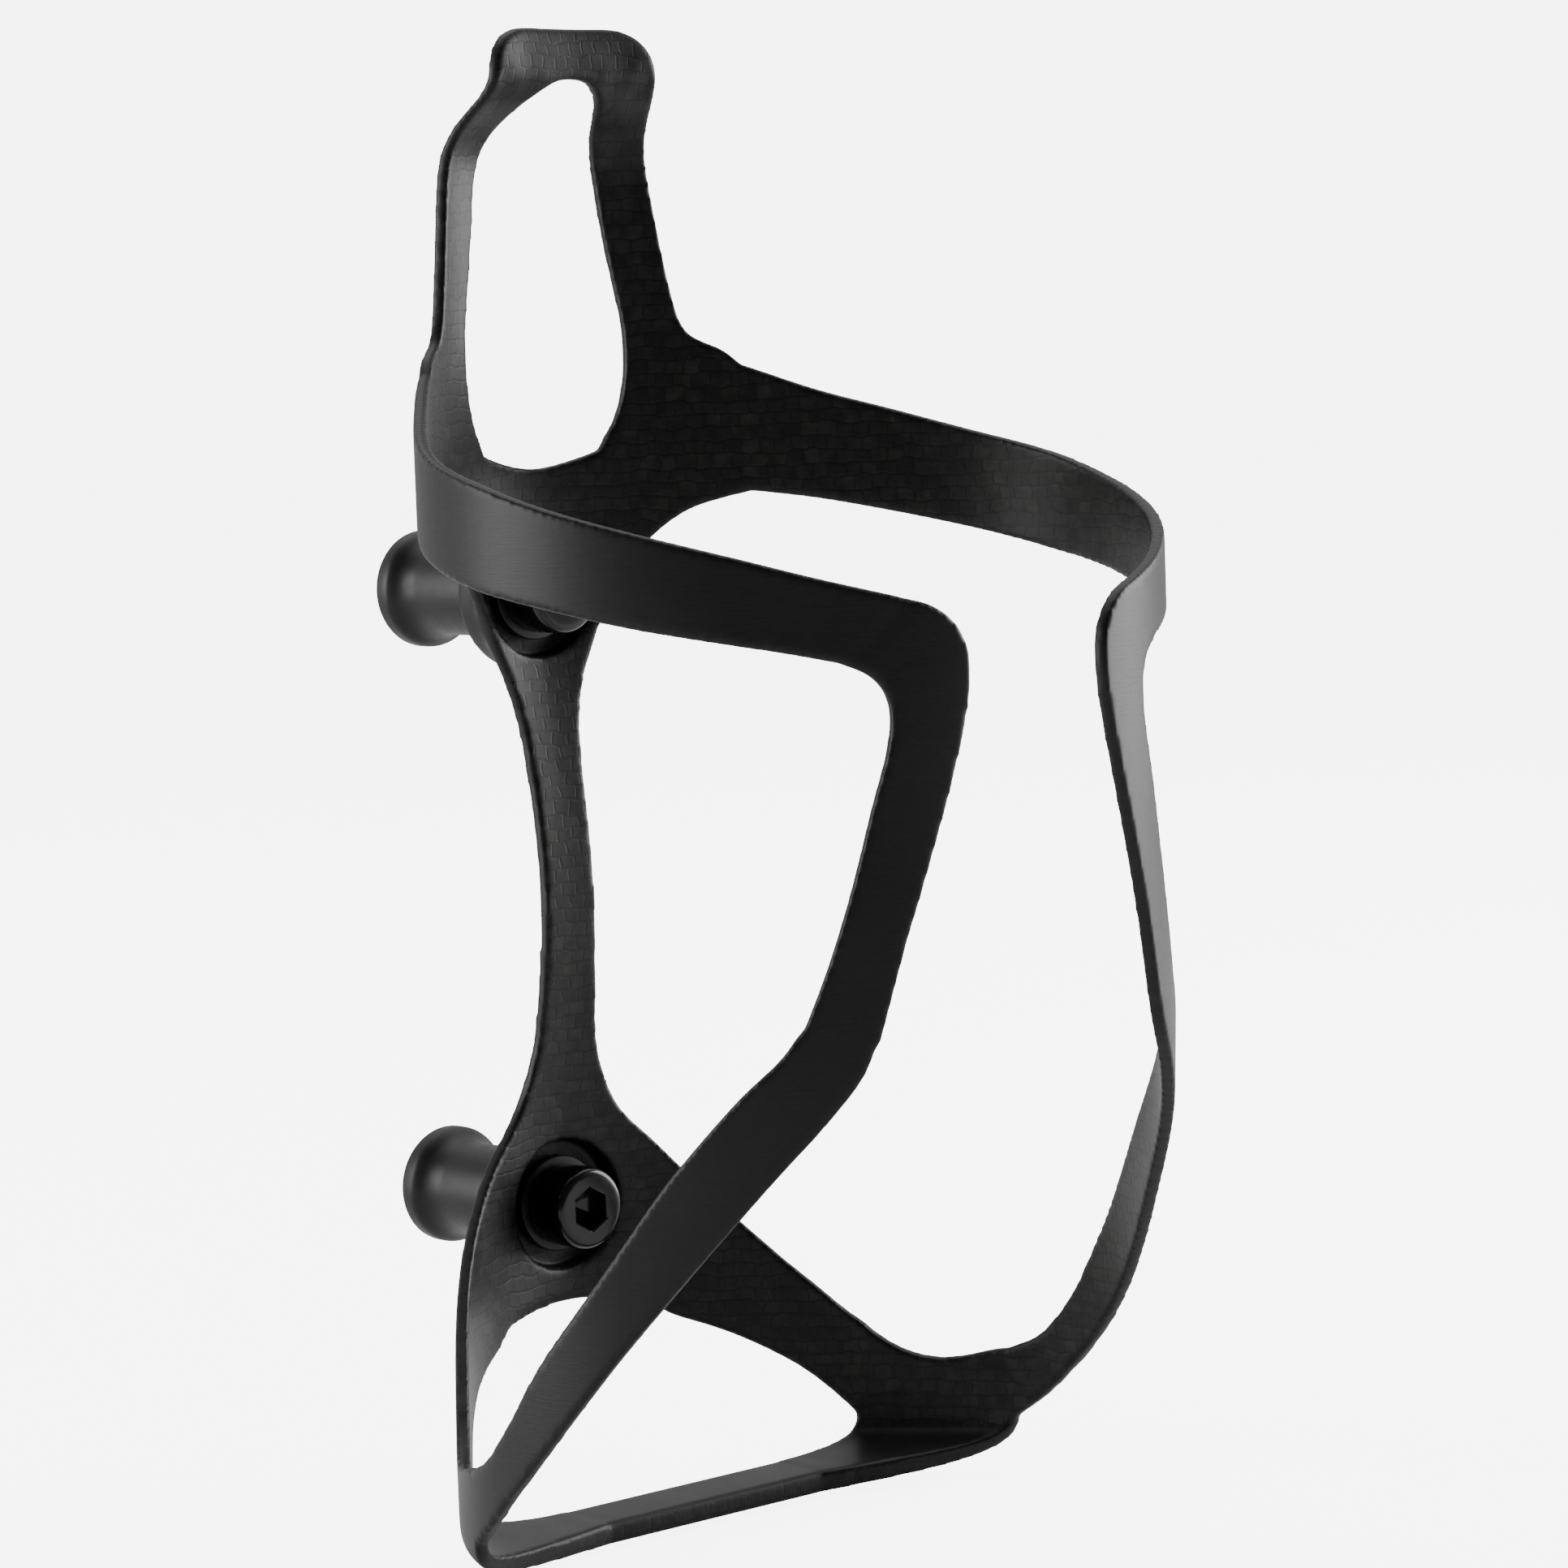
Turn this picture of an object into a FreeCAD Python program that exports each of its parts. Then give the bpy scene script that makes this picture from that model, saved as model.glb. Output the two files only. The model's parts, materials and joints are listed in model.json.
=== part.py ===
import FreeCAD, Part
import math
import os

# Carbon bottle cage, millimetres.
# Frame: origin midway between the two bolts, on the plane the spacers press on the bicycle frame.
# +Z runs up the bottle, +Y points to the bottle and the open front, +X is the right side.

os.makedirs("parts", exist_ok=True)

# Driving dimensions
BOLT_SPACING = 64.0       # standard bottle cage bolts
INNER_RADIUS = 36.2       # unloaded bore, a little under a 74 mm bottle so the cage grips
SHELL = 1.4               # carbon wall thickness
AXIS_Y = 57.4             # bottle axis in front of the spacers' frame face
BOLT_MID = 56.6           # height of the bolts' midpoint in the outline tables below
SPINE_BOW = 2.3           # spine bends toward the bottle halfway up
PLATE_SET_BACK = 1.2      # bolt plates stand back from the bottle
LIP_BULGE = 8.2           # catch lip reaching over the bottle's shoulder
FLANK_PINCH = 3.45        # flanks beside the spine, drawn in to grip
FRONT_SPREAD = 0.35       # front corners, opened to let the bottle in
DIAGONAL_PINCH = 1.4      # diagonals, drawn in where they cross the sides

SPACER_LENGTH = 16.7
GAP = 0.3                 # between pieces that only rest on each other
SPACER_FLANGE_R = 6.2
SPACER_BODY_R = 4.85
BORE_R = 2.58
THREAD_R = 2.5
SHANK_R = 2.25            # rolled-thread blank inside the spacer
SCREW_LENGTH = 23.0
HEAD_R = 4.25
HEAD_HEIGHT = 5.0
SOCKET_ACROSS = 4.0
SOCKET_DEPTH = 2.6
WASHER_R = 5.0
WASHER_THICK = 1.0
DISH_R = 6.8              # recess round each bolt
DISH_WALL = 1.4
DISH_RIM = 1.9            # height of the recess's wall above its floor
PLATE_HOLE_R = 2.8
DISH_BACK = SPACER_LENGTH + GAP
DISH_FLOOR = DISH_BACK + SHELL
WASHER_SEAT = DISH_FLOOR + GAP
HEAD_SEAT = WASHER_SEAT + WASHER_THICK + GAP

STRAP_REAR = -21.0        # strap edges, measured from the bottle axis
STRAP_FRONT = -13.5
STRAP_TOP = -2.7
STRAP_THICK = 2.2
STRAP_END = 14.0          # where the flat middle of the strap meets the rolled feet
ROW_STEP = 2.5            # spacing of the sections that carry the shell's surfaces
SPINE_ROW_STEP = 0.9      # closer, to keep the spine's corners crisp

# Outlines: angle round the bottle axis (0 at the spine, 180 at the front) and height.
# Spine: height on the centre line, then the angle and height of the right-hand edge.
SPINE_FOOT = [(14.4, 14.0, 13.2), (18.0, 17.5, 18.8), (22.0, 20.8, 24.2), (25.5, 22.3, 26.4)]
SPINE_BAR = [
    (25.5, 22.3, 26.4), (29.0, 16.8, 30.2), (33.0, 11.5, 33.6), (37.3, 8.2, 37.3),
    (41.0, 6.4, 41.0), (47.0, 5.7, 47.0), (55.0, 5.4, 55.0), (63.0, 5.3, 63.0),
    (70.0, 5.4, 70.0), (75.0, 5.9, 75.0), (79.0, 7.3, 79.0), (83.0, 10.0, 83.0),
    (87.0, 13.2, 87.6), (90.5, 18.5, 92.3), (93.5, 26.0, 96.0), (96.5, 37.0, 98.0),
]
SPINE_HEAD = [(96.5, 37.0, 98.0), (98.5, 37.0, 104.5), (101.2, 37.0, 111.0)]
# Strips: one edge (angle, height), then the matching point of the other edge.
LOOP = [
    (13.6, 104.5, 35.0, 112.0), (15.6, 107.4, 30.6, 113.4), (16.7, 111.4, 26.9, 115.0),
    (16.4, 116.0, 24.9, 118.8), (14.9, 121.0, 23.4, 123.6), (13.5, 126.0, 22.0, 129.0),
    (12.4, 131.0, 21.0, 133.6), (10.9, 135.0, 20.6, 138.5), (8.6, 138.0, 19.6, 142.6),
    (5.2, 139.7, 15.0, 145.0), (2.0, 140.2, 7.5, 145.4),
]
ARM = [
    (37.0, 111.0, 37.0, 98.0), (49.0, 108.4, 49.0, 97.0), (62.0, 106.2, 62.0, 95.5),
    (77.0, 103.6, 77.0, 93.5), (92.0, 101.3, 92.0, 91.4), (107.0, 98.7, 106.0, 89.7),
    (121.0, 96.4, 119.0, 88.0), (134.0, 94.2, 131.0, 86.6), (146.0, 92.0, 141.0, 85.4),
    (156.0, 90.3, 148.0, 84.4),
]
FRONT_LEG = [
    (156.0, 90.3, 148.0, 84.4), (163.0, 88.7, 152.2, 83.1), (166.4, 86.2, 154.3, 81.6),
    (167.0, 83.0, 155.0, 79.4), (166.4, 79.4, 154.4, 76.4), (164.2, 74.2, 152.3, 72.0),
    (160.0, 66.0, 148.7, 64.0), (155.7, 58.0, 145.2, 57.4), (152.0, 50.2, 141.5, 51.6),
]
DIAGONAL = [
    (152.0, 50.2, 141.5, 51.6), (149.0, 46.6, 137.5, 48.6), (144.6, 43.2, 133.0, 46.0),
    (137.5, 38.4, 127.0, 42.0), (130.0, 33.2, 120.0, 37.0), (121.0, 27.0, 112.5, 31.0),
    (113.0, 21.4, 105.4, 25.4), (104.7, 15.3, 98.0, 19.6), (98.0, 10.6, 91.0, 13.6),
    (91.0, 6.3, 84.5, 9.5), (85.0, 2.9, 80.2, 8.2), (79.5, 0.4, 77.5, 7.7),
]
LOWER_LEG = [
    (22.3, 26.4, 14.0, 13.2), (27.5, 23.0, 19.5, 11.2), (33.0, 19.7, 27.0, 9.4),
    (38.5, 16.6, 34.0, 7.4), (43.5, 14.1, 40.0, 5.4), (48.5, 11.6, 45.5, 3.0),
    (53.0, 9.6, 50.5, 0.3),
]
CORNER_TOP = [(53.0, 9.6), (57.0, 7.9), (62.0, 6.7), (67.0, 6.4), (72.0, 6.9), (77.5, 7.7)]
CORNER_LOW = [(50.5, 0.3), (56.0, 0.3), (62.0, 0.3), (68.0, 0.3), (74.0, 0.4), (79.5, 0.4)]


def hump(value, centre, width):
    return math.exp(-((value - centre) / width) ** 2)


def inner_radius(angle, height):
    """Inner face: round but for the places where it grips, clears or catches the bottle."""
    turn = abs(angle)
    r = INNER_RADIUS - SPINE_BOW * hump(height, BOLT_MID, 16.0) * hump(turn, 0.0, 22.0)
    for side in (-0.5, 0.5):
        r += PLATE_SET_BACK * hump(height, BOLT_MID + side * BOLT_SPACING, 13.0) * hump(turn, 0.0, 30.0)
    r += FRONT_SPREAD * hump(turn, 140.0, 35.0) - FLANK_PINCH * hump(turn, 52.0, 27.0)
    r -= DIAGONAL_PINCH * hump(turn, 116.0, 24.0) * hump(height, 31.0, 14.0)
    lip_width = 5.0 if height < 141.0 else 12.0
    return r - LIP_BULGE * hump(height, 141.0, lip_width) * hump(turn, 0.0, 40.0)


def on_shell(angle, height, out):
    """Point of the shell's inner face, or `out` mm outside it."""
    r = inner_radius(angle, height) + out
    a = math.radians(angle)
    return FreeCAD.Vector(r * math.sin(a), AXIS_Y - r * math.cos(a), height - BOLT_MID)


def mix(a, b, t):
    return tuple(p + (q - p) * t for p, q in zip(a, b))


def solid_between(inner, outer):
    """Close two matching grids of points into one solid with smooth faces."""
    faces, rims = [], []
    for grid in (inner, outer):
        surface = Part.BSplineSurface()
        surface.interpolate(grid)
        u0, u1, v0, v1 = surface.bounds()
        faces.append(surface.toShape())
        rims.append([surface.uIso(u0), surface.vIso(v0), surface.uIso(u1), surface.vIso(v1)])
    for a, b in zip(*rims):
        faces.append(Part.makeRuledSurface(a.toShape(), b.toShape()))
    shell = Part.makeShell(faces)
    shell.sewShape()
    solid = Part.makeSolid(shell)
    if solid.Volume < 0:
        solid.reverse()
    return solid


def spacing(row_a, row_b):
    """Mean distance on the shell between two rows of points."""
    arc = math.radians(INNER_RADIUS)
    steps = [math.hypot((q[0] - p[0]) * arc, q[1] - p[1]) for p, q in zip(row_a, row_b)]
    return sum(steps) / len(steps)


def even_rows(rows, step):
    """Smooth curves through the rows' matching points, cut again at even spacing."""
    s = [0.0]
    for a, b in zip(rows, rows[1:]):
        s.append(s[-1] + spacing(a, b))

    def slope(i, k, c):
        lo, hi = max(i - 1, 0), min(i + 1, len(rows) - 1)
        if lo == i or hi == i:
            return (rows[hi][k][c] - rows[lo][k][c]) / (s[hi] - s[lo])
        before = (rows[i][k][c] - rows[lo][k][c]) / (s[i] - s[lo])
        after = (rows[hi][k][c] - rows[i][k][c]) / (s[hi] - s[i])
        return (before * (s[hi] - s[i]) + after * (s[i] - s[lo])) / (s[hi] - s[lo])

    count = max(3, round(s[-1] / step))
    result = []
    for n in range(count + 1):
        at = s[-1] * n / count
        i = max(j for j in range(len(s) - 1) if s[j] <= at + 1e-9)
        gap = s[i + 1] - s[i]
        t = (at - s[i]) / gap
        h = (2 * t ** 3 - 3 * t ** 2 + 1, t ** 3 - 2 * t ** 2 + t, 3 * t ** 2 - 2 * t ** 3, t ** 3 - t ** 2)
        row = []
        for k in range(len(rows[0])):
            row.append(tuple(
                h[0] * rows[i][k][c] + h[1] * gap * slope(i, k, c)
                + h[2] * rows[i + 1][k][c] + h[3] * gap * slope(i + 1, k, c) for c in (0, 1)))
        result.append(row)
    return result


def from_sections(*runs, step=ROW_STEP):
    """Solid through rows of (angle, height) points on the shell; edges may kink between runs."""
    rows = even_rows(runs[0], step)
    for run in runs[1:]:
        rows += even_rows(run, step)[1:]
    inner = [[on_shell(a, h, 0.0) for a, h in row] for row in rows]
    outer = [[on_shell(a, h, SHELL) for a, h in row] for row in rows]
    return solid_between(inner, outer)


def strip(table, steps=4):
    rows = []
    for a0, h0, a1, h1 in table:
        rows.append([mix((a0, h0), (a1, h1), i / steps) for i in range(steps + 1)])
    return from_sections(rows)


def mirrored(shape):
    return shape.mirror(FreeCAD.Vector(0, 0, 0), FreeCAD.Vector(1, 0, 0))


def save(name, shape):
    shape.exportStep("parts/%s.step" % name)
    box = shape.BoundBox
    print("%-20s valid %s solids %d volume %7.1f  x %6.1f %6.1f y %6.1f %6.1f z %6.1f %6.1f" % (
        name, shape.isValid(), len(shape.Solids), shape.Volume,
        box.XMin, box.XMax, box.YMin, box.YMax, box.ZMin, box.ZMax))


def post(radius, y0, y1, z):
    """Round bar along Y."""
    return Part.makeCylinder(radius, y1 - y0, FreeCAD.Vector(0, y0, z), FreeCAD.Vector(0, 1, 0))


def bolt_heights():
    return {"upper": BOLT_SPACING / 2, "lower": -BOLT_SPACING / 2}


def spine_edge(angle, centre, edge_angle, edge_height):
    return angle, centre + (edge_height - centre) * abs(angle / edge_angle) ** 1.6


def spine_section(centre, edge_angle, edge_height):
    return [spine_edge(edge_angle * i / 6, centre, edge_angle, edge_height) for i in range(-6, 7)]


def make_spine():
    runs = [[spine_section(*line) for line in table] for table in (SPINE_FOOT, SPINE_BAR, SPINE_HEAD)]
    body = from_sections(*runs, step=SPINE_ROW_STEP)
    for z in bolt_heights().values():
        body = body.cut(post(DISH_R, 10.0, 30.0, z))
        cup = post(DISH_R + DISH_WALL, DISH_BACK, DISH_FLOOR + DISH_RIM, z)
        cup = cup.cut(post(DISH_R, DISH_FLOOR, 30.0, z))
        body = body.fuse(cup.cut(post(PLATE_HOLE_R, 10.0, 30.0, z)))
    return body.removeSplitter()


def make_loop():
    half = [[mix((a0, h0), (a1, h1), i / 4) for i in range(5)] for a0, h0, a1, h1 in LOOP]
    root = [12.2 + (37.0 - 12.2) * i / 4 for i in range(5)]
    half.insert(0, [spine_edge(angle, *SPINE_HEAD[-1]) for angle in root])
    middle = [mix((0.0, 140.3), (0.0, 145.4), i / 4) for i in range(5)]
    other = [[(-a, h) for a, h in row] for row in reversed(half)]
    return from_sections(half + [middle] + other)


def make_corner():
    """Wall from the notch down to the base."""
    return from_sections([[mix(p, q, i / 3) for p, q in zip(CORNER_TOP, CORNER_LOW)] for i in range(4)])


def make_foot():
    """Rolled foot that carries a corner's wall under the bottle to the strap."""
    def face(out, drop):
        floor = STRAP_TOP - drop - BOLT_MID
        rows = []
        for i in range(13):
            t = i / 12
            row = []
            for k, (angle, height) in enumerate(CORNER_LOW):
                start = on_shell(angle, height, out)
                rise = start.z - floor
                y = AXIS_Y + STRAP_REAR + (STRAP_FRONT - STRAP_REAR) * k / (len(CORNER_LOW) - 1)
                end = FreeCAD.Vector(STRAP_END, y, floor)
                heel = FreeCAD.Vector(start.x, start.y, floor + 0.24 * rise)
                sole = FreeCAD.Vector(start.x * 0.7 + end.x * 0.3, (start.y + y) / 2, floor + 0.11 * rise)
                row.append(start * (1 - t) ** 3 + heel * (3 * t * (1 - t) ** 2)
                           + sole * (3 * t ** 2 * (1 - t)) + end * t ** 3)
            rows.append(row)
        return rows

    return solid_between(face(0.0, 0.0), face(SHELL, STRAP_THICK))


def make_strap():
    width = STRAP_FRONT - STRAP_REAR
    corner = FreeCAD.Vector(-STRAP_END, AXIS_Y + STRAP_REAR, STRAP_TOP - STRAP_THICK - BOLT_MID)
    return Part.makeBox(2 * STRAP_END, width, STRAP_THICK, corner)


def turned(points, z):
    """Body of revolution about a bolt's axis from (radius, y) points."""
    wire = Part.makePolygon([FreeCAD.Vector(r, y, z) for r, y in points + points[:1]])
    return Part.Face(wire).revolve(FreeCAD.Vector(0, 0, z), FreeCAD.Vector(0, 1, 0), 360)


def make_spacer(z):
    f, b, n = SPACER_FLANGE_R, SPACER_BODY_R, SPACER_LENGTH
    outline = [(BORE_R, 0.0), (f - 0.4, 0.0), (f, 0.4), (f, 1.6), (f - 0.25, 2.4),
               (f - 0.7, 3.2), (b + 0.25, 4.2), (b, 5.2), (b, n - 0.4), (b - 0.4, n), (BORE_R, n)]
    return turned(outline, z)


def make_washer(z):
    y0, y1 = WASHER_SEAT, WASHER_SEAT + WASHER_THICK
    return post(WASHER_R, y0, y1, z).cut(post(BORE_R, y0 - 1, y1 + 1, z))


def make_screw(z):
    seat = HEAD_SEAT
    top = seat + HEAD_HEIGHT
    tip = seat - SCREW_LENGTH
    outline = [(0.0, tip), (THREAD_R - 0.6, tip), (THREAD_R, tip + 0.6), (THREAD_R, -0.05),
               (SHANK_R, -0.05), (SHANK_R, seat), (HEAD_R, seat), (HEAD_R, top - 0.6),
               (HEAD_R - 0.2, top - 0.2), (HEAD_R - 0.6, top), (0.0, top)]
    corner_r = SOCKET_ACROSS / math.sqrt(3)
    hexagon = []
    for i in range(7):
        a = math.radians(60 * i)
        hexagon.append(FreeCAD.Vector(corner_r * math.cos(a), top - SOCKET_DEPTH, z + corner_r * math.sin(a)))
    socket = Part.Face(Part.makePolygon(hexagon)).extrude(FreeCAD.Vector(0, SOCKET_DEPTH + 1, 0))
    return turned(outline, z).cut(socket)


def main():
    save("spine", make_spine())
    save("catch_loop", make_loop())
    sides = {
        "arm": strip(ARM),
        "front_leg": strip(FRONT_LEG),
        "diagonal": strip(DIAGONAL),
        "lower_leg": strip(LOWER_LEG),
        "base_corner": make_corner(),
        "base_foot": make_foot(),
    }
    for name, shape in sides.items():
        save("right_" + name, shape)
        save("left_" + name, mirrored(shape))
    save("base_strap", make_strap())
    for name, z in bolt_heights().items():
        save(name + "_spacer", make_spacer(z))
        save(name + "_washer", make_washer(z))
        save(name + "_screw", make_screw(z))


main()
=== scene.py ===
"""Carbon bottle cage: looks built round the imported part, laid out as a Blender add-on."""

import json
import math

import bmesh
import bpy
import numpy as np
from bpy.props import FloatProperty, FloatVectorProperty, IntProperty, PointerProperty
from mathutils import Matrix, Vector


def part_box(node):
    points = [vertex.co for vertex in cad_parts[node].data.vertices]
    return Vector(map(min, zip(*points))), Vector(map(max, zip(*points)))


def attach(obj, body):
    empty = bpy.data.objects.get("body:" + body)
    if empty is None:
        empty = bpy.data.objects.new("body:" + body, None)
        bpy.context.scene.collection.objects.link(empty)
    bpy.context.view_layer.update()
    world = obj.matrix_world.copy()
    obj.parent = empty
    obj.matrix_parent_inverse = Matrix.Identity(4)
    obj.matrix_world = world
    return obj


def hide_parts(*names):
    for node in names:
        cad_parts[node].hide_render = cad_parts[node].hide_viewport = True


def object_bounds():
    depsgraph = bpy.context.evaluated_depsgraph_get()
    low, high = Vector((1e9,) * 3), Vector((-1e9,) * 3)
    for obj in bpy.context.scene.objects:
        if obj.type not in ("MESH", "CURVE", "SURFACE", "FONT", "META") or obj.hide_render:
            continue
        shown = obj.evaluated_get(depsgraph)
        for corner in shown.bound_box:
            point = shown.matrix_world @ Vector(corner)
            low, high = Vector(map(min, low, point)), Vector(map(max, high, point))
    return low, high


bl_info = {
    "name": "Carbon Bottle Cage",
    "version": (1, 0, 0),
    "blender": (4, 5, 0),
    "location": "3D View > Sidebar > Bottle Cage",
    "description": "Builds a moulded carbon bottle cage with its two bolts, washers and spacers",
    "category": "Add Mesh",
}

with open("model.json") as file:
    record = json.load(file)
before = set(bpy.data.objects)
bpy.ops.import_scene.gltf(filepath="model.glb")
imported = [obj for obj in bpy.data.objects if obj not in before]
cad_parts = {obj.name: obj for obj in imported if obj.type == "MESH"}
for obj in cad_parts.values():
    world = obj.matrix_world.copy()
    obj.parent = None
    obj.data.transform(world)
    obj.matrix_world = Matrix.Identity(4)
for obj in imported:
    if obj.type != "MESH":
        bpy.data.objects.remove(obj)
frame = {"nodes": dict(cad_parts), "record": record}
cad_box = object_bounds()

MM = 0.001
SHELL_NODES = frame["record"]["behaviour"]["bodies"]["shell"]
BOLTS = ("upper", "lower")
ROUND = 2 * math.pi
TO_MM = 1000

BOLT_RADIUS = 2.5 * MM
BOLT_HEAD_HEIGHT = 5.0 * MM
CLEARANCE_RADIUS = 2.62 * MM    # bore of the washers and spacers
SPACER_BARREL_RADIUS = 4.83 * MM
COLOUR_A, COLOUR_B, COLOUR_OUT = 6, 7, 2    # sockets of a Mix node that mixes colours
FLOOR_LIT = 0.6     # what the lamps add to the floor's brightness
# how squarely a face looks inwards where the weave starts, and over how much it blends in
INNER_FROM, INNER_BLEND = 0.35, 0.45


# ---------------------------------------------------------------- settings

class ShellSettings(bpy.types.PropertyGroup):
    """Sizes and colours of the moulded carbon shell"""

    detail: FloatProperty(
        name="Surface detail", description="Size of the mesh cells the shell is finished in",
        default=0.26 * MM, min=0.2 * MM, max=1 * MM, subtype="DISTANCE", unit="LENGTH")
    rim_passes: IntProperty(
        name="Rim rounding", description="How many times the cut edges are smoothed",
        default=16, min=0, max=40)
    tow_width: FloatProperty(
        name="Tow width", description="Width of one tow of the weave inside the cage",
        default=2.0 * MM, subtype="DISTANCE", unit="LENGTH")
    tow_height: FloatProperty(
        name="Tow height", description="Height of one tow of the weave inside the cage",
        default=1.4 * MM, subtype="DISTANCE", unit="LENGTH")
    outer_colour: FloatVectorProperty(
        name="Outer colour", description="Satin lacquer over the outer face",
        default=(0.0080, 0.0078, 0.0077), size=3, subtype="COLOR", min=0, max=1)
    inner_colour: FloatVectorProperty(
        name="Inner colour", description="Bare weave of the inner face",
        default=(0.0062, 0.0060, 0.0055), size=3, subtype="COLOR", min=0, max=1)


class HardwareSettings(bpy.types.PropertyGroup):
    """Sizes and colours of the bolts, washers and spacers"""

    thread_pitch: FloatProperty(
        name="Thread pitch", description="Advance of the bolt in one turn",
        default=0.8 * MM, subtype="DISTANCE", unit="LENGTH")
    thread_depth: FloatProperty(
        name="Thread depth", description="Depth of the thread below the shank's outside",
        default=0.42 * MM, subtype="DISTANCE", unit="LENGTH")
    socket_across: FloatProperty(
        name="Socket across flats", description="Hex key size of the bolt head",
        default=4.0 * MM, subtype="DISTANCE", unit="LENGTH")
    socket_depth: FloatProperty(
        name="Socket depth", description="Depth of the hex socket",
        default=2.6 * MM, subtype="DISTANCE", unit="LENGTH")
    steel_colour: FloatVectorProperty(
        name="Bolt colour", description="Gloss black finish of the bolts",
        default=(0.0025, 0.0025, 0.0028), size=3, subtype="COLOR", min=0, max=1)
    spacer_colour: FloatVectorProperty(
        name="Spacer colour", description="Satin black of the spacers and washers",
        default=(0.0035, 0.0035, 0.0038), size=3, subtype="COLOR", min=0, max=1)


class StageSettings(bpy.types.PropertyGroup):
    """Camera, lights and floor"""

    azimuth: FloatProperty(
        name="Camera azimuth", description="Angle from straight in front towards the right side",
        default=math.radians(40.65), subtype="ANGLE", unit="ROTATION")
    elevation: FloatProperty(
        name="Camera elevation", description="Angle of the camera's axis above level",
        default=math.radians(5.31), subtype="ANGLE", unit="ROTATION")
    roll: FloatProperty(
        name="Camera roll", description="Lean of the camera about its own axis",
        default=math.radians(-2.03), subtype="ANGLE", unit="ROTATION")
    distance: FloatProperty(
        name="Camera distance", description="From the camera to the point it looks at",
        default=0.455, subtype="DISTANCE", unit="LENGTH")
    lens: FloatProperty(
        name="Lens", description="Focal length in millimetres on a 36 mm sensor",
        default=107.0, min=20, max=300)
    target: FloatVectorProperty(
        name="Look at", description="Point the camera looks at",
        default=(-0.00089, 0.05686, 0.01368), size=3, subtype="TRANSLATION", unit="LENGTH")
    backdrop_colour: FloatVectorProperty(
        name="Backdrop", description="Colour of the floor and the surroundings",
        default=(0.93, 0.93, 0.93), size=3, subtype="COLOR", min=0, max=1)
    backdrop_glow: FloatProperty(
        name="Backdrop brightness",
        description="How bright the floor and surroundings look behind the cage",
        default=7.0, min=0, max=20)
    room_light: FloatProperty(
        name="Room light", description="Light from the pale wall behind the cage",
        default=0.9, min=0, max=4)
    front_light: FloatProperty(
        name="Front light", description="Light from the dim side of the room, in front of the cage",
        default=0.08, min=0, max=4)


# ---------------------------------------------------------------- helpers

def new_object(name, mesh):
    obj = bpy.data.objects.new(name, mesh)
    bpy.context.scene.collection.objects.link(obj)
    return obj


def mesh_arrays(mesh):
    """Positions and normals of a mesh's points."""
    co = np.empty(len(mesh.vertices) * 3)
    no = np.empty(len(mesh.vertices) * 3)
    mesh.vertices.foreach_get("co", co)
    mesh.vertices.foreach_get("normal", no)
    return co.reshape(-1, 3), no.reshape(-1, 3)


def smooth_by_angle(obj, degrees):
    """Smooth shading that stays crisp at edges sharper than the angle."""
    mesh = obj.data
    for face in mesh.polygons:
        face.use_smooth = True
    mesh.set_sharp_from_angle(angle=math.radians(degrees))


def new_material(name):
    """A material with a Principled shader; returns it with its tree and shader."""
    material = bpy.data.materials.new(name)
    material.use_nodes = True
    tree = material.node_tree
    return material, tree, tree.nodes["Principled BSDF"]


def set_inputs(made, **values):
    """Set a node's inputs by name, with _ for a space."""
    for key, value in values.items():
        made.inputs[key.replace("_", " ")].default_value = value


def node(tree, kind, **values):
    """Add a shader node and set its properties and inputs by name."""
    made = tree.nodes.new(kind)
    for key, value in values.items():
        if hasattr(made, key):
            setattr(made, key, value)
        else:
            set_inputs(made, **{key: value})
    return made


def colour4(colour, gain=1.0):
    """A colour with full alpha, made brighter or darker."""
    return tuple(min(1.0, c * gain) for c in colour) + (1.0,)


def two_tone(tree, colour, dark, light, start=0.0, end=1.0):
    """Ramp from a darker to a lighter shade of one colour."""
    ramp = node(tree, "ShaderNodeValToRGB")
    first, last = ramp.color_ramp.elements
    first.color, last.color = colour4(colour, dark), colour4(colour, light)
    first.position, last.position = start, end
    return ramp


# ---------------------------------------------------------------- materials

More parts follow.
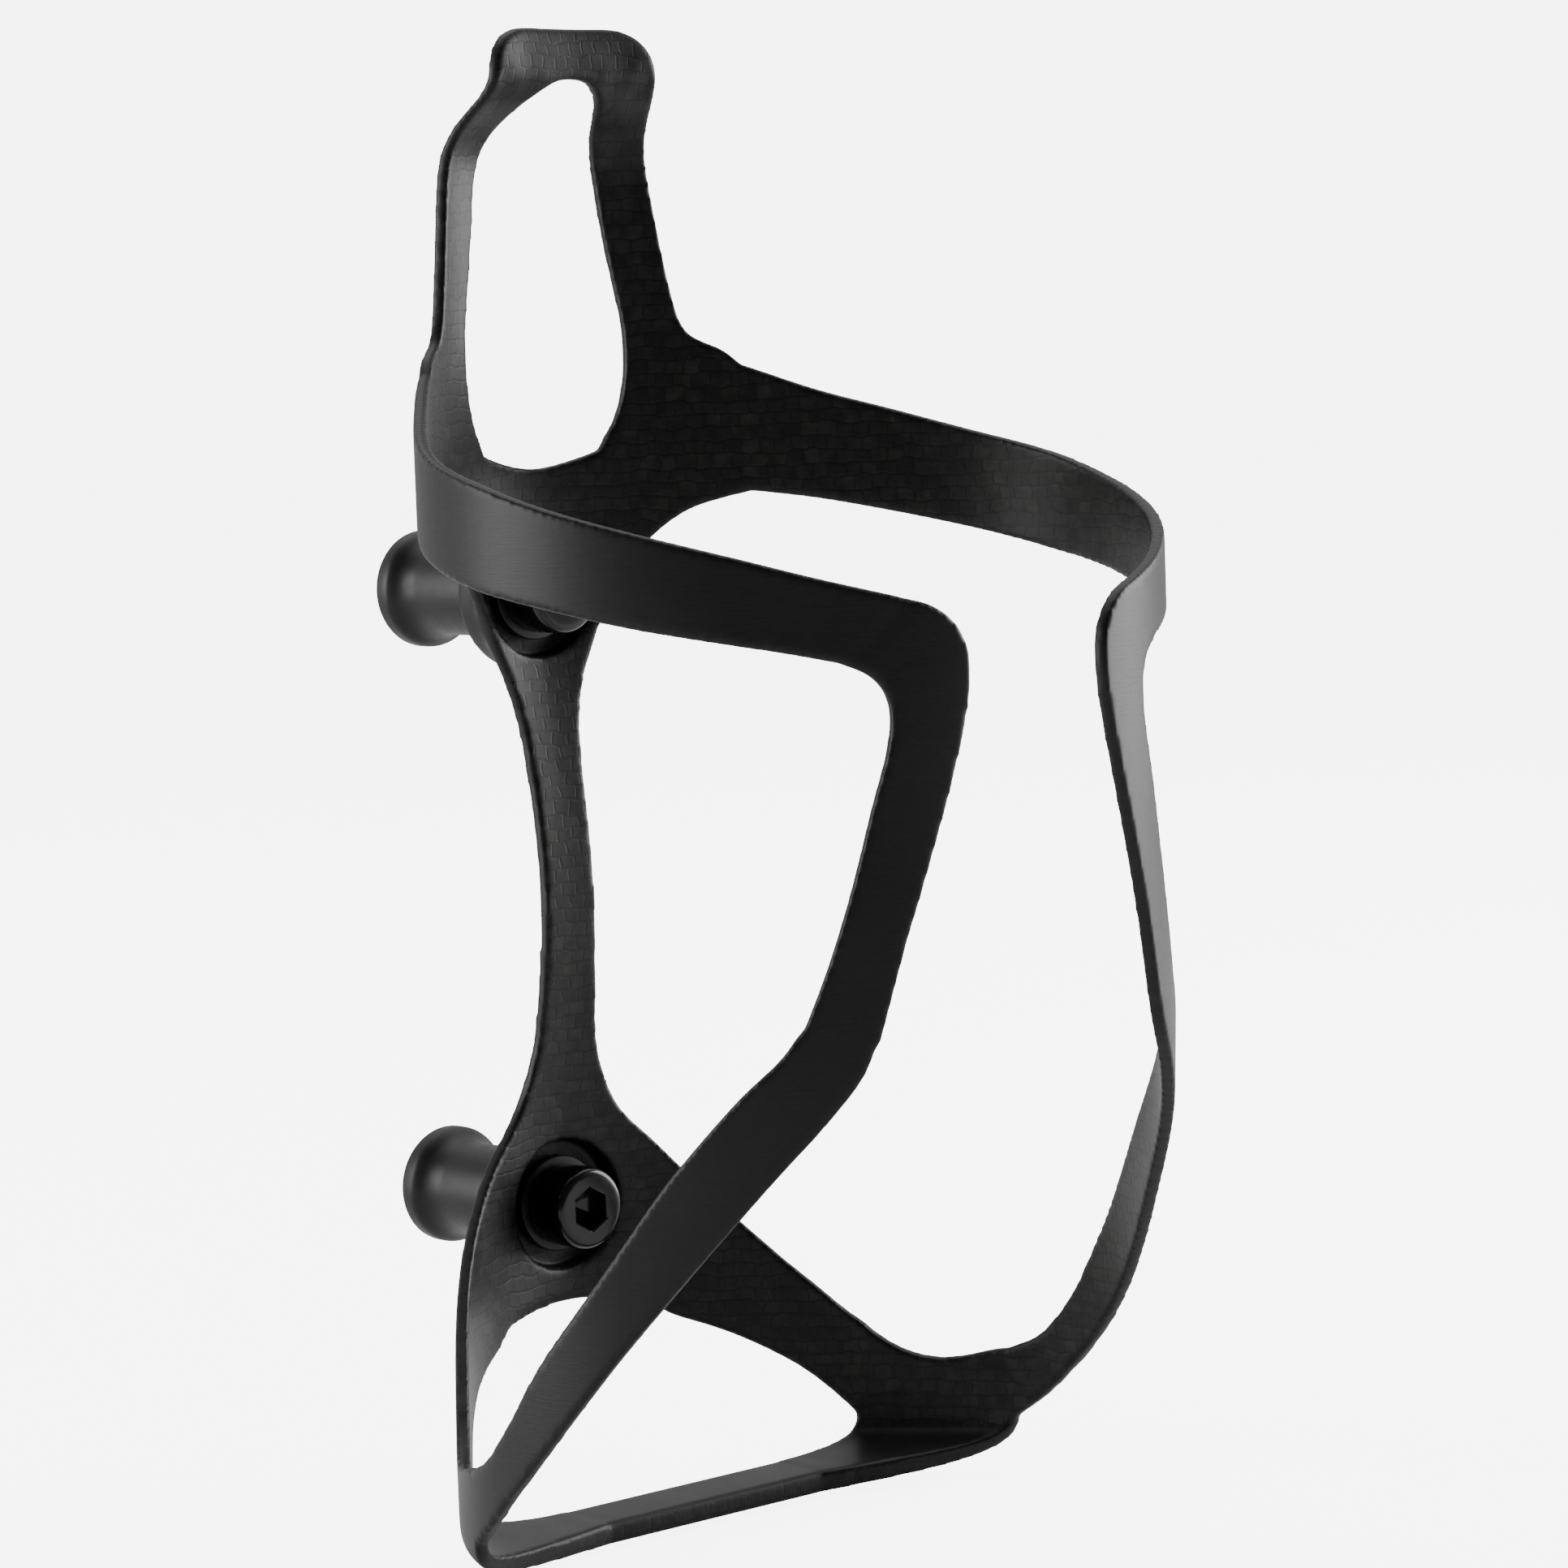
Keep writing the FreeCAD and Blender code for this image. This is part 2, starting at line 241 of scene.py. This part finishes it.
def carbon_material(settings):
    """Brick-like woven tows inside the cage, satin straight-fibre lacquer outside."""
    material, tree, shader = new_material("Moulded carbon")
    link = tree.links.new
    uv = node(tree, "ShaderNodeUVMap", uv_map="Shell")
    inside = node(tree, "ShaderNodeAttribute", attribute_name="inside")

    tows = node(tree, "ShaderNodeTexBrick", Scale=1.0)
    tows.offset = 0.5
    set_inputs(
        tows, Brick_Width=settings.tow_width * TO_MM, Row_Height=settings.tow_height * TO_MM,
        Mortar_Size=0.2, Mortar_Smooth=1.0, Color1=colour4(settings.inner_colour, 0.7),
        Color2=colour4(settings.inner_colour, 1.7), Mortar=colour4(settings.inner_colour, 0.4))
    wander = node(tree, "ShaderNodeTexNoise", Scale=0.35, Detail=2.0)
    link(uv.outputs["UV"], wander.inputs["Vector"])
    drift = node(tree, "ShaderNodeVectorMath", operation="MULTIPLY_ADD")
    drift.inputs[1].default_value = (1.7, 1.5, 0.0)
    link(wander.outputs["Color"], drift.inputs[0])
    link(uv.outputs["UV"], drift.inputs[2])
    link(drift.outputs["Vector"], tows.inputs["Vector"])

    resin = node(tree, "ShaderNodeTexNoise", Scale=0.6, Detail=3.0)
    link(uv.outputs["UV"], resin.inputs["Vector"])
    shade = node(tree, "ShaderNodeMapRange")
    set_inputs(shade, From_Min=0.3, From_Max=0.7, To_Min=0.4, To_Max=1.7)
    link(resin.outputs["Fac"], shade.inputs["Value"])
    weave = node(tree, "ShaderNodeMix", data_type="RGBA", blend_type="MULTIPLY")
    set_inputs(weave, Factor=1.0)
    link(tows.outputs["Color"], weave.inputs[COLOUR_A])
    link(shade.outputs["Result"], weave.inputs[COLOUR_B])

    fibres = node(tree, "ShaderNodeTexNoise", Scale=1.0, Detail=3.0)
    stretch = node(tree, "ShaderNodeMapping")
    set_inputs(stretch, Scale=(0.25, 5.0, 1.0))
    link(uv.outputs["UV"], stretch.inputs["Vector"])
    link(stretch.outputs["Vector"], fibres.inputs["Vector"])
    patches = node(tree, "ShaderNodeTexNoise", Scale=0.09, Detail=3.0)
    link(uv.outputs["UV"], patches.inputs["Vector"])
    satin = two_tone(tree, settings.outer_colour, 0.75, 1.3, start=0.35, end=0.7)
    grain = node(tree, "ShaderNodeMix", data_type="FLOAT")
    set_inputs(grain, Factor=0.4)
    link(patches.outputs["Fac"], grain.inputs["A"])
    link(fibres.outputs["Fac"], grain.inputs["B"])
    link(grain.outputs["Result"], satin.inputs["Fac"])

    colour = node(tree, "ShaderNodeMix", data_type="RGBA")
    link(inside.outputs["Fac"], colour.inputs["Factor"])
    link(satin.outputs["Color"], colour.inputs[COLOUR_A])
    link(weave.outputs[COLOUR_OUT], colour.inputs[COLOUR_B])
    link(colour.outputs[COLOUR_OUT], shader.inputs["Base Color"])

    rough = node(tree, "ShaderNodeMapRange")
    set_inputs(rough, To_Min=0.36, To_Max=0.50)
    link(grain.outputs["Result"], rough.inputs["Value"])
    link(rough.outputs["Result"], shader.inputs["Roughness"])

    relief = node(tree, "ShaderNodeMix", data_type="FLOAT")
    link(inside.outputs["Fac"], relief.inputs["Factor"])
    link(fibres.outputs["Fac"], relief.inputs["A"])
    link(tows.outputs["Fac"], relief.inputs["B"])
    bump = node(tree, "ShaderNodeBump", Strength=0.22, Distance=0.00006, invert=True)
    link(relief.outputs["Result"], bump.inputs["Height"])
    link(bump.outputs["Normal"], shader.inputs["Normal"])
    shader.inputs["Specular IOR Level"].default_value = 0.2
    shader.inputs["Coat Weight"].default_value = 0.05
    shader.inputs["Coat Roughness"].default_value = 0.3
    return material


def mottled_black(name, colour, roughness, wear_scale, wear_depth):
    """Black finish with fine mottling, for the hardware."""
    material, tree, shader = new_material(name)
    place = node(tree, "ShaderNodeTexCoord")
    speck = node(tree, "ShaderNodeTexNoise", Scale=wear_scale, Detail=4.0)
    tree.links.new(place.outputs["Object"], speck.inputs["Vector"])
    tint = two_tone(tree, colour, 0.7, 1.6)
    tree.links.new(speck.outputs["Fac"], tint.inputs["Fac"])
    tree.links.new(tint.outputs["Color"], shader.inputs["Base Color"])
    rough = node(tree, "ShaderNodeMapRange")
    set_inputs(rough, To_Min=roughness * 0.8, To_Max=roughness * 1.25)
    tree.links.new(speck.outputs["Fac"], rough.inputs["Value"])
    tree.links.new(rough.outputs["Result"], shader.inputs["Roughness"])
    bump = node(tree, "ShaderNodeBump", Strength=wear_depth, Distance=0.00002)
    tree.links.new(speck.outputs["Fac"], bump.inputs["Height"])
    tree.links.new(bump.outputs["Normal"], shader.inputs["Normal"])
    shader.inputs["Specular IOR Level"].default_value = 0.3
    return material


# ---------------------------------------------------------------- shell

def joined_shell():
    """Copy of every shell solid from the frame, in one mesh."""
    bm = bmesh.new()
    for name in SHELL_NODES:
        bm.from_mesh(frame["nodes"][name].data)
    bmesh.ops.remove_doubles(bm, verts=bm.verts, dist=1e-6)
    mesh = bpy.data.meshes.new("Carbon_shell")
    bm.to_mesh(mesh)
    bm.free()
    return mesh


def applied(obj):
    """Replace an object's mesh with its modified one."""
    graph = bpy.context.evaluated_depsgraph_get()
    mesh = bpy.data.meshes.new_from_object(obj.evaluated_get(graph))
    obj.modifiers.clear()
    obj.data = mesh
    return mesh


def bottle_axis():
    """Y of the bottle's axis: the middle of the room kept for the bottle."""
    openings = frame["record"]["physics"]["openings"]
    low, high = next(o["box_m"] for o in openings if o["name"] == "bottle_space")
    return (low[1] + high[1]) / 2


def finish_shell(mesh):
    """Mark the inner face, and lay the weave's map: arc length and height in millimetres."""
    axis = bottle_axis()
    co, no = mesh_arrays(mesh)
    out = co - np.array([0.0, axis, 0.0])
    out[:, 2] = 0.0
    out /= np.linalg.norm(out, axis=1)[:, None]
    facing = (no * out).sum(1)
    inside = np.clip((-facing - INNER_FROM) / INNER_BLEND, 0, 1)
    mark = mesh.attributes.new("inside", "FLOAT", "POINT")
    mark.data.foreach_set("value", inside.astype(np.float32))
    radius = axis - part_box("catch_loop")[0].y
    angle = np.arctan2(co[:, 0], axis - co[:, 1])
    place = np.stack([angle * radius, co[:, 2]], 1) * TO_MM
    loops = np.empty(len(mesh.loops), int)
    mesh.loops.foreach_get("vertex_index", loops)
    layer = mesh.uv_layers.new(name="Shell")
    layer.data.foreach_set("uv", place[loops].astype(np.float32).ravel())


class CAGE_OT_shell(bpy.types.Operator):
    """Mould the shell's limbs into one continuous piece with rounded rims"""

    bl_idname = "cage.shell"
    bl_label = "Carbon Shell"

    def execute(self, context):
        settings = context.scene.cage_shell
        shell = new_object("Carbon_shell", joined_shell())
        remesh = shell.modifiers.new("Mould", "REMESH")
        remesh.mode = "VOXEL"
        remesh.voxel_size = settings.detail
        remesh.use_smooth_shade = True
        rims = shell.modifiers.new("Rims", "SMOOTH")
        rims.factor = 0.5
        rims.iterations = settings.rim_passes
        mesh = applied(shell)
        if not mesh.vertices:
            raise RuntimeError("the shell's mesh is empty")
        finish_shell(mesh)
        mesh.materials.append(carbon_material(settings))
        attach(shell, "shell")
        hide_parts(*SHELL_NODES)
        return {"FINISHED"}


# ---------------------------------------------------------------- hardware

def ring_body(rings, segments):
    """Closed mesh through rings about Y; a ring is (y, radius or function of the angle)."""
    bm = bmesh.new()
    rows = []
    for y, radius in rings:
        row = []
        for k in range(segments):
            a = ROUND * k / segments
            r = radius(a) if callable(radius) else radius
            row.append(bm.verts.new((r * math.cos(a), y, r * math.sin(a))))
        rows.append(row)
    for low, high in zip(rows, rows[1:]):
        for k in range(segments):
            n = (k + 1) % segments
            bm.faces.new((low[k], high[k], high[n], low[n]))
    return bm, rows


def closed_mesh(name, bm):
    """Turn a finished bmesh into a mesh whose faces look outwards."""
    bmesh.ops.recalc_face_normals(bm, faces=bm.faces)
    mesh = bpy.data.meshes.new(name)
    bm.to_mesh(mesh)
    bm.free()
    return mesh


def tube_mesh(name, rings, segments=64):
    """Body with a through bore: the last ring joins the first."""
    bm, _ = ring_body(rings + rings[:1], segments)
    bmesh.ops.remove_doubles(bm, verts=bm.verts, dist=1e-7)
    return closed_mesh(name, bm)


def placed(name, mesh, node_name, body, material, crisp=32):
    """Put a turned body on its bolt's axis and tie it to the frame."""
    lo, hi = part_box(node_name)
    mesh.transform(Matrix.Translation((0, 0, (lo.z + hi.z) / 2)))
    obj = new_object(name, mesh)
    mesh.materials.append(material)
    smooth_by_angle(obj, crisp)
    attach(obj, body)
    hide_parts(node_name)


def rounded(y0, r0, y1, r1, y2, r2, steps=4):
    """Rings round a corner, as a curve from the first point past the second to the third."""
    rings = []
    for i in range(steps + 1):
        t = i / steps
        y = y0 * (1 - t) ** 2 + y1 * 2 * t * (1 - t) + y2 * t ** 2
        r = r0 * (1 - t) ** 2 + r1 * 2 * t * (1 - t) + r2 * t ** 2
        rings.append((y, r))
    return rings


def spacer_mesh(name, lo, hi):
    """Trumpet spacer: flange on the bicycle side, waisted neck, plain barrel."""
    flange = (hi.x - lo.x) / 2
    bore, barrel = CLEARANCE_RADIUS, SPACER_BARREL_RADIUS
    y = lo.y
    rings = [(y, bore), (y, bore + 0.5 * MM)]
    rings += rounded(y, flange - 0.5 * MM, y, flange, y + 0.5 * MM, flange)
    rings += rounded(y + 1.5 * MM, flange, y + 1.9 * MM, flange,
                     y + 2.3 * MM, flange - 0.28 * MM)
    rings += rounded(y + 2.4 * MM, flange - 0.34 * MM, y + 3.6 * MM, barrel + 0.02 * MM,
                     y + 5.4 * MM, barrel, steps=8)
    top = hi.y
    rings += rounded(top - 0.5 * MM, barrel, top, barrel, top, barrel - 0.5 * MM)
    rings += [(top, bore + 0.3 * MM), (top - 0.3 * MM, bore)]
    return tube_mesh(name, rings, 72)


def washer_mesh(name, lo, hi):
    """Flat washer with eased outer edges."""
    outer = (hi.x - lo.x) / 2
    bore, ease = CLEARANCE_RADIUS, 0.2 * MM
    rings = [(lo.y, bore), (lo.y, outer - ease)]
    rings += rounded(lo.y, outer - ease, lo.y, outer, lo.y + ease, outer, 3)[1:]
    rings += rounded(hi.y - ease, outer, hi.y, outer, hi.y, outer - ease, 3)
    rings += [(hi.y, bore)]
    return tube_mesh(name, rings, 64)


def hexagon(across):
    """Radius of a hexagon, as a function of the angle."""
    def edge(a):
        part = (a + math.pi / 6) % (math.pi / 3) - math.pi / 6
        return across / 2 / math.cos(part)
    return edge


def screw_mesh(name, lo, hi, settings):
    """Socket-head bolt with a true helical thread."""
    segments = 72
    head_r, shank_r = (hi.x - lo.x) / 2, BOLT_RADIUS
    seat = hi.y - BOLT_HEAD_HEIGHT
    pitch, depth = settings.thread_pitch, settings.thread_depth
    plain = seat - 1.2 * MM         # where the thread ends, under the head
    point_r = 0.9 * MM              # flat end of the point
    point_length = 0.9 * MM
    point_taper = 0.6 * MM          # taken off the thread at its tip
    steps_per_turn = 8
    rows = [(lo.y, point_r)]
    count = int((plain - lo.y) / pitch * steps_per_turn)
    for i in range(count + 1):
        y = lo.y + (plain - lo.y) * i / count
        fade = min(1.0, (plain - y) / pitch)
        tip = max(0.0, 1 - (y - lo.y) / point_length) * point_taper

        def thread(a, y=y, fade=fade, tip=tip):
            turn = (y / pitch + a / ROUND) % 1.0
            ramp = abs(turn * 2 - 1)
            groove = min(1.0, max(0.0, ramp * 1.25 - 0.1))
            return shank_r - fade * depth * groove - tip
        rows.append((y, thread))
    rows += [(plain + 0.05 * MM, shank_r), (seat, shank_r)]
    rows += [(seat, shank_r + 0.3 * MM), (seat, head_r - 0.25 * MM)]
    rows += rounded(seat, head_r - 0.25 * MM, seat, head_r, seat + 0.25 * MM, head_r, 3)[1:]
    rows += rounded(hi.y - 0.9 * MM, head_r, hi.y, head_r, hi.y, head_r - 0.9 * MM, 7)

    across = settings.socket_across
    rows += [(hi.y, hexagon(across + 0.35 * MM)), (hi.y - 0.18 * MM, hexagon(across))]
    floor = hi.y - settings.socket_depth
    rows += [(floor, hexagon(across)), (floor, hexagon(across * 0.7))]
    rows += [(floor - 0.7 * MM, 0.15 * MM)]
    bm, made = ring_body(rows, segments)
    bm.faces.new(made[0])
    bm.faces.new(made[-1])
    return closed_mesh(name, bm)


class CAGE_OT_spacers(bpy.types.Operator):
    """Turn the two trumpet spacers that hold the cage off the bicycle"""

    bl_idname = "cage.spacers"
    bl_label = "Spacers"

    def execute(self, context):
        settings = context.scene.cage_hardware
        satin = mottled_black("Satin black plastic", settings.spacer_colour, 0.42, 900, 0.25)
        for place in BOLTS:
            node_name = place + "_spacer"
            name = place.capitalize() + "_trumpet_spacer"
            mesh = spacer_mesh(name, *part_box(node_name))
            placed(name, mesh, node_name, place + "_spacer_body", satin)
        return {"FINISHED"}


class CAGE_OT_washers(bpy.types.Operator):
    """Make the washer under each bolt head"""

    bl_idname = "cage.washers"
    bl_label = "Washers"

    def execute(self, context):
        settings = context.scene.cage_hardware
        coated = mottled_black("Coated washer", settings.spacer_colour, 0.34, 1400, 0.2)
        for place in BOLTS:
            node_name = place + "_washer"
            name = place.capitalize() + "_coated_washer"
            mesh = washer_mesh(name, *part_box(node_name))
            placed(name, mesh, node_name, place + "_washer_body", coated)
        return {"FINISHED"}


class CAGE_OT_bolts(bpy.types.Operator):
    """Cut the two socket-head bolts with their threads"""

    bl_idname = "cage.bolts"
    bl_label = "Bolts"

    def execute(self, context):
        settings = context.scene.cage_hardware
        gloss = mottled_black("Gloss black steel", settings.steel_colour, 0.2, 1100, 0.12)
        shader = gloss.node_tree.nodes["Principled BSDF"]
        shader.inputs["Coat Weight"].default_value = 0.15
        shader.inputs["Coat Roughness"].default_value = 0.1
        for place in BOLTS:
            node_name = place + "_screw"
            name = place.capitalize() + "_socket_bolt"
            mesh = screw_mesh(name, *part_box(node_name), settings)
            placed(name, mesh, node_name, place + "_screw_body", gloss)
        return {"FINISHED"}


# ---------------------------------------------------------------- stage

def camera_axes(azimuth, elevation, roll):
    """Right, up and back directions of the camera."""
    back = Vector((math.sin(azimuth) * math.cos(elevation),
                   math.cos(azimuth) * math.cos(elevation), math.sin(elevation)))
    right = (-back).cross(Vector((0, 0, 1))).normalized()
    up = right.cross(-back)
    leaning_right = right * math.cos(roll) + up * math.sin(roll)
    leaning_up = up * math.cos(roll) - right * math.sin(roll)
    return leaning_right, leaning_up, back


def seen_strength(tree, seen):
    """Node with one strength for the camera and another, zero at first, for the light it casts."""
    path = node(tree, "ShaderNodeLightPath")
    blend = node(tree, "ShaderNodeMapRange")
    set_inputs(blend, To_Min=0.0, To_Max=seen)
    tree.links.new(path.outputs["Is Camera Ray"], blend.inputs["Value"])
    return blend


def room_strength(tree, front, settings):
    """Socket for a room that is pale behind the cage and dim in front of it."""
    place = node(tree, "ShaderNodeTexCoord")
    along = node(tree, "ShaderNodeVectorMath", operation="DOT_PRODUCT")
    along.inputs[1].default_value = front
    tree.links.new(place.outputs["Generated"], along.inputs[0])
    wall = node(tree, "ShaderNodeMapRange", interpolation_type="SMOOTHSTEP")
    set_inputs(wall, From_Min=0.35, From_Max=-0.35,
               To_Min=settings.front_light, To_Max=settings.room_light)
    tree.links.new(along.outputs["Value"], wall.inputs["Value"])
    blend = seen_strength(tree, settings.backdrop_glow)
    tree.links.new(wall.outputs["Result"], blend.inputs["To Min"])
    return blend.outputs["Result"]


def softbox(name, place, aim, width, height, power):
    """Rectangular area light pointed at a place."""
    data = bpy.data.lights.new(name, "AREA")
    data.shape = "RECTANGLE"
    data.size, data.size_y = width, height
    data.energy = power
    obj = new_object(name, data)
    obj.location = place
    obj.rotation_euler = (Vector(aim) - Vector(place)).to_track_quat("-Z", "Y").to_euler()
    return obj


class CAGE_OT_stage(bpy.types.Operator):
    """Set the pale floor, the soft lights and the camera"""

    bl_idname = "cage.stage"
    bl_label = "Stage"

    def execute(self, context):
        settings = context.scene.cage_stage
        lo, hi = cad_box
        middle = (lo + hi) / 2
        right, up, back = camera_axes(settings.azimuth, settings.elevation, settings.roll)

        camera_data = bpy.data.cameras.new("Camera")
        camera_data.lens = settings.lens
        camera_data.clip_start, camera_data.clip_end = 0.01, 20.0
        camera = new_object("Camera", camera_data)
        turn = Matrix((right, up, back)).transposed().to_4x4()
        place = Vector(settings.target) + back * settings.distance
        camera.matrix_world = Matrix.Translation(place) @ turn
        context.scene.camera = camera

        bm = bmesh.new()
        bmesh.ops.create_circle(bm, cap_ends=True, segments=96, radius=6.0)
        floor_mesh = bpy.data.meshes.new("Floor")
        bm.to_mesh(floor_mesh)
        bm.free()
        floor = new_object("Floor", floor_mesh)
        floor.location = (middle.x, middle.y, lo.z - 0.0005)
        material, tree, shader = new_material("Pale floor")
        shader.inputs["Base Color"].default_value = colour4(settings.backdrop_colour)
        shader.inputs["Roughness"].default_value = 0.9
        shader.inputs["Specular IOR Level"].default_value = 0.1
        shader.inputs["Emission Color"].default_value = colour4(settings.backdrop_colour)
        glow = seen_strength(tree, settings.backdrop_glow - FLOOR_LIT)
        tree.links.new(glow.outputs["Result"], shader.inputs["Emission Strength"])
        floor_mesh.materials.append(material)

        side = Vector((right.x, right.y, 0)).normalized()
        front = Vector((back.x, back.y, 0)).normalized()
        rise = Vector((0, 0, 1))
        key = softbox("Key_softbox", middle + side * 0.62 - front * 0.24 + rise * 0.12,
                      middle, width=0.4, height=0.6, power=8)
        fill = softbox("Fill_softbox", middle - side * 0.75 + front * 0.10 + rise * 0.1,
                       middle, width=0.45, height=0.6, power=7)
        top = softbox("Top_softbox", middle + rise * 0.9 - front * 0.3,
                      middle, width=0.9, height=0.9, power=3.5)

        world = bpy.data.worlds.new("Studio")
        world.use_nodes = True
        sky = world.node_tree.nodes["Background"]
        sky.inputs["Color"].default_value = colour4(settings.backdrop_colour)
        strength = room_strength(world.node_tree, front, settings)
        world.node_tree.links.new(strength, sky.inputs["Strength"])
        context.scene.world = world
        return {"FINISHED"}


# ---------------------------------------------------------------- panel and registration

class CAGE_PT_panel(bpy.types.Panel):
    """Lists the cage's pieces and their settings"""

    bl_idname = "CAGE_PT_panel"
    bl_label = "Bottle Cage"
    bl_space_type = "VIEW_3D"
    bl_region_type = "UI"
    bl_category = "Bottle Cage"

    def draw(self, context):
        layout = self.layout
        for operators, settings in (
            (("cage.shell",), context.scene.cage_shell),
            (("cage.spacers", "cage.washers", "cage.bolts"), context.scene.cage_hardware),
            (("cage.stage",), context.scene.cage_stage),
        ):
            box = layout.box()
            for name in operators:
                box.operator(name)
            for prop in settings.__annotations__:
                box.prop(settings, prop)


CLASSES = (
    ShellSettings, HardwareSettings, StageSettings,
    CAGE_OT_shell, CAGE_OT_spacers, CAGE_OT_washers, CAGE_OT_bolts, CAGE_OT_stage,
    CAGE_PT_panel,
)
SETTINGS = {
    "cage_shell": ShellSettings,
    "cage_hardware": HardwareSettings,
    "cage_stage": StageSettings,
}


def register():
    for cls in CLASSES:
        bpy.utils.register_class(cls)
    for name, group in SETTINGS.items():
        setattr(bpy.types.Scene, name, PointerProperty(type=group))


def unregister():
    for name in SETTINGS:
        delattr(bpy.types.Scene, name)
    for cls in reversed(CLASSES):
        bpy.utils.unregister_class(cls)


def main():
    register()
    bpy.ops.cage.shell()
    bpy.ops.cage.spacers()
    bpy.ops.cage.washers()
    bpy.ops.cage.bolts()
    bpy.ops.cage.stage()


if __name__ == "__main__":
    main()
